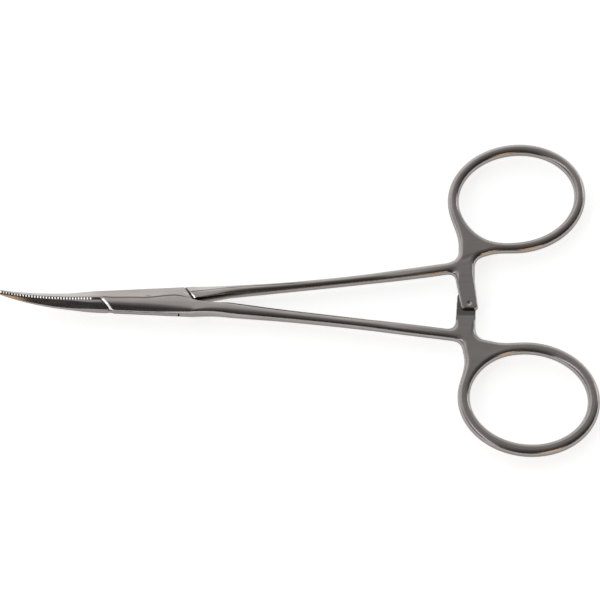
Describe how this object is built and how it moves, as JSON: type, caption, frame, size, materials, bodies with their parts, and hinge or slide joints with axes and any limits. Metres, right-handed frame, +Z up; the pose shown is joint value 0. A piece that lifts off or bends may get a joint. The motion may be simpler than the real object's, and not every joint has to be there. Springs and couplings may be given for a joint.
{
  "type": "hemostat forceps",
  "caption": "Slim curved haemostat with serrated fine-tipped jaws, a box lock, oval finger rings and a ratchet between the shanks.",
  "frame": {"origin": "on the pivot axis, at the underside face of the box", "axes": "+X from the jaws towards the finger rings, +Y across the instrument towards the blade half's ring, +Z up, the way the jaws curve"},
  "size_m": [0.1249, 0.0697, 0.0083],
  "materials": {
    "satin_steel": "satin to mirror polished stainless steel",
    "rivet_steel": "stainless rivet, ground flush"
  },
  "bodies": {
    "box_side": {"female_half": "satin_steel", "pivot_pin": "rivet_steel"},
    "blade_side": {"male_half": "satin_steel"}
  },
  "joints": [
    {"name": "box_lock_hinge", "type": "hinge", "parent": "box_side", "child": "blade_side", "pos_m": [0, 0, 0.0021], "axis": [0, 0, 1], "range_deg": [0, 55]}
  ]
}
